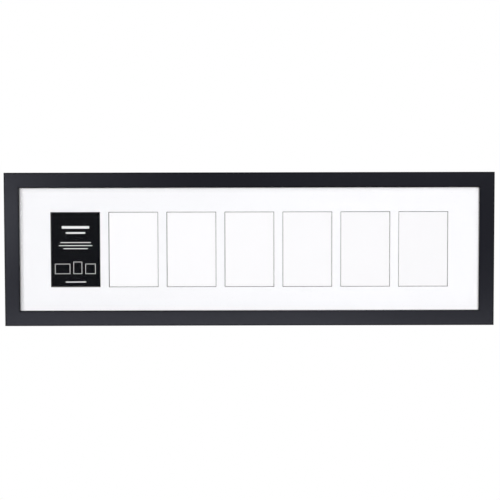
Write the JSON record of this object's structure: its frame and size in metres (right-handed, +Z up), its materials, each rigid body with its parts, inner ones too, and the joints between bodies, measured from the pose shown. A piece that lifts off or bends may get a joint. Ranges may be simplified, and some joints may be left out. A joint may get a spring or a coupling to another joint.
{
  "type": "collage photo frame",
  "caption": "Long wall-hung picture frame with mitred black rails, glass and a white mat with a row of portrait windows, closed behind by turn buttons.",
  "frame": {"origin": "on the wall, behind the centre of the frame", "axes": "+X along the frame, +Z up, +Y into the wall; the glass faces -Y"},
  "size_m": [0.9618, 0.025, 0.3012],
  "materials": {
    "black_rail": "satin black lacquer on the shown faces, bare board behind",
    "zinc_steel": "bright zinc plate",
    "clear_glass": "polished float glass",
    "white_mat": "smooth white face with a pale grey bevelled core",
    "black_card": "matt black print with plain white bars",
    "white_board": "matt white",
    "grey_board": "unbleached corrugated board",
    "hardboard": "smooth brown hardboard",
    "black_rubber": "matt"
  },
  "bodies": {
    "frame": {"top_rail": "black_rail", "bottom_rail": "black_rail", "left_rail": "black_rail", "right_rail": "black_rail", "sawtooth_hanger_left": "zinc_steel", "sawtooth_hanger_right": "zinc_steel", "turn_button_screws": "zinc_steel", "hanger_nails": "zinc_steel", "corner_v_nails": "zinc_steel", "glass_pane": "clear_glass", "mat_board": "white_mat", "insert_card": "black_card", "mount_board": "white_board", "filler_pad": "grey_board", "backing_board": "hardboard", "wall_bumper_top_left": "black_rubber", "wall_bumper_top_right": "black_rubber", "wall_bumper_bottom_left": "black_rubber", "wall_bumper_bottom_right": "black_rubber"},
    "turn_button_top_1": {"turn_button_top_1": "zinc_steel"},
    "turn_button_bottom_1": {"turn_button_bottom_1": "zinc_steel"},
    "turn_button_top_2": {"turn_button_top_2": "zinc_steel"},
    "turn_button_bottom_2": {"turn_button_bottom_2": "zinc_steel"},
    "turn_button_top_3": {"turn_button_top_3": "zinc_steel"},
    "turn_button_bottom_3": {"turn_button_bottom_3": "zinc_steel"},
    "turn_button_left": {"turn_button_left": "zinc_steel"},
    "turn_button_right": {"turn_button_right": "zinc_steel"}
  },
  "joints": [
    {"name": "turn_button_top_1_swing", "type": "hinge", "parent": "frame", "child": "turn_button_top_1", "pos_m": [-0.3048, -0.00225, 0.13565], "axis": [0, 1, 0], "continuous": true},
    {"name": "turn_button_bottom_1_swing", "type": "hinge", "parent": "frame", "child": "turn_button_bottom_1", "pos_m": [-0.3048, -0.00225, -0.13565], "axis": [0, 1, 0], "continuous": true},
    {"name": "turn_button_top_2_swing", "type": "hinge", "parent": "frame", "child": "turn_button_top_2", "pos_m": [0, -0.00225, 0.13565], "axis": [0, 1, 0], "continuous": true},
    {"name": "turn_button_bottom_2_swing", "type": "hinge", "parent": "frame", "child": "turn_button_bottom_2", "pos_m": [0, -0.00225, -0.13565], "axis": [0, 1, 0], "continuous": true},
    {"name": "turn_button_top_3_swing", "type": "hinge", "parent": "frame", "child": "turn_button_top_3", "pos_m": [0.3048, -0.00225, 0.13565], "axis": [0, 1, 0], "continuous": true},
    {"name": "turn_button_bottom_3_swing", "type": "hinge", "parent": "frame", "child": "turn_button_bottom_3", "pos_m": [0.3048, -0.00225, -0.13565], "axis": [0, 1, 0], "continuous": true},
    {"name": "turn_button_left_swing", "type": "hinge", "parent": "frame", "child": "turn_button_left", "pos_m": [-0.46585, -0.00225, 0], "axis": [0, 1, 0], "continuous": true},
    {"name": "turn_button_right_swing", "type": "hinge", "parent": "frame", "child": "turn_button_right", "pos_m": [0.46585, -0.00225, 0], "axis": [0, 1, 0], "continuous": true}
  ]
}
